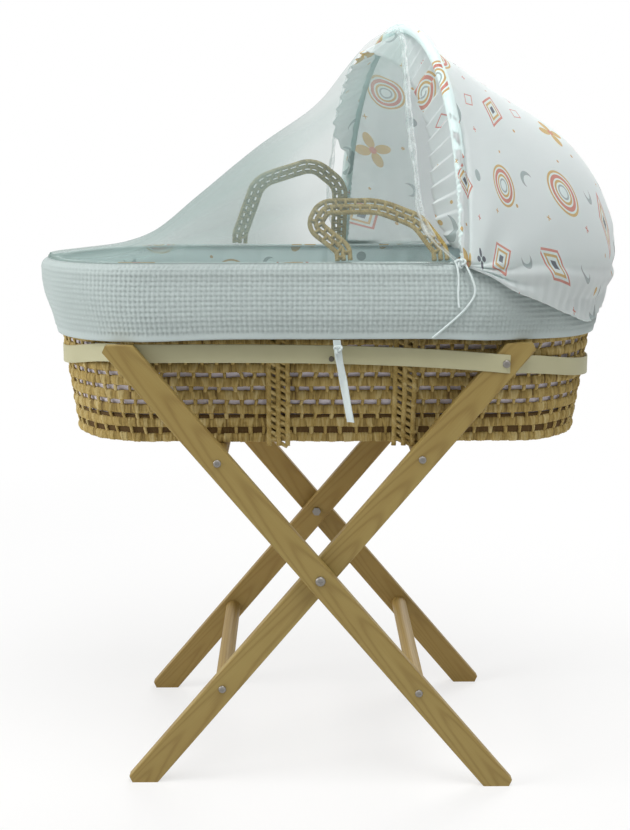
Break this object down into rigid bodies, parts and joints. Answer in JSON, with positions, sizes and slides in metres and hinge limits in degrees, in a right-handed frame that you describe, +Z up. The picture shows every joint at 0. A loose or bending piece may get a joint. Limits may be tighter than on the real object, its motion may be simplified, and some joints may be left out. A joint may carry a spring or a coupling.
{
  "type": "bassinet on folding stand",
  "caption": "Woven bassinet with cloth skirt, printed hood and sheer net, resting on the rails of a folding crossed-leg wooden stand held by a strap.",
  "frame": {"origin": "on the floor, below the middle of the whole object's box", "axes": "+X towards the head end with the hood, +Y away from the viewer, +Z up"},
  "size_m": [0.8887, 0.4486, 1.1459],
  "materials": {
    "pine": "clear matt varnish on pine",
    "rail_wood": "clear matt varnish on a pale round rail",
    "steel": "bright zinc plate",
    "straw": "natural plant husk, wrapped and stitched",
    "strap": "smooth cream strap",
    "sheet": "plain cotton sheet",
    "print_cloth": "pale cotton with a small scattered print",
    "waffle": "pale waffle cotton",
    "tape": "white cotton tape",
    "hoop": "smooth white rod",
    "net": "fine sheer net"
  },
  "bodies": {
    "pivots": {"pivot_bolts": "steel", "pivot_spacers": "steel", "pivot_nuts": "steel"},
    "outer_frame": {"outer_leg_front": "pine", "outer_leg_rear": "pine", "outer_upper_rail": "rail_wood", "outer_lower_rail": "rail_wood", "outer_rail_screws": "steel", "outer_strap_screws": "steel"},
    "inner_frame": {"inner_leg_front": "pine", "inner_leg_rear": "pine", "inner_upper_rail": "rail_wood", "inner_lower_rail": "rail_wood", "inner_rail_screws": "steel", "inner_strap_screws": "steel"},
    "strap": {"strap": "strap", "strap_rivets": "steel"},
    "basket": {"basket_wall": "straw", "basket_base": "straw", "basket_rim": "straw", "near_band_foot": "straw", "near_band_head": "straw", "far_band_foot": "straw", "far_band_head": "straw", "mattress": "sheet", "liner": "print_cloth", "skirt": "waffle", "skirt_ribbon": "tape", "net": "net", "net_tie_long": "tape", "net_tie_short": "tape"},
    "near_handle": {"near_handle": "straw"},
    "far_handle": {"far_handle": "straw"},
    "hood": {"hood_hoop": "hoop", "hood_frill": "print_cloth", "hood_canopy": "print_cloth"}
  },
  "joints": [
    {"name": "stand_fold", "type": "hinge", "parent": "pivots", "child": "outer_frame", "pos_m": [-0.016, 0, 0.328], "axis": [0, 1, 0], "range_deg": [0, 35.5], "deforming": ["strap", "strap_rivets"]},
    {"name": "inner_fold", "type": "hinge", "parent": "pivots", "child": "inner_frame", "pos_m": [-0.016, 0, 0.328], "axis": [0, 1, 0], "range_deg": [-35.5, 0]},
    {"name": "strap_rise", "type": "slide", "parent": "pivots", "child": "strap", "axis": [0, 0, 1], "range_m": [0, 0.0979]},
    {"name": "basket_lift", "type": "slide", "parent": "strap", "child": "basket", "axis": [0, 0, 1], "range_m": [0, 0.4]},
    {"name": "hood_fold", "type": "hinge", "parent": "basket", "child": "hood", "pos_m": [0.111, 0, 0.79935], "axis": [-0.3827, 0.9239, 0], "range_deg": [0, 40], "deforming": ["hood_canopy", "net"]},
    {"name": "near_handle_swing", "type": "hinge", "parent": "basket", "child": "near_handle", "pos_m": [0.088, -0.18, 0.79885], "axis": [1, 0, 0], "range_deg": [-40, 12]},
    {"name": "far_handle_swing", "type": "hinge", "parent": "basket", "child": "far_handle", "pos_m": [-0.063, 0.18, 0.79885], "axis": [1, 0, 0], "range_deg": [-6, 40]}
  ],
  "couplings": [
    {"joint": "inner_fold", "follows": "stand_fold", "ratio": -1},
    {"joint": "strap_rise", "follows": "stand_fold", "m_per_rad": 0.158}
  ]
}
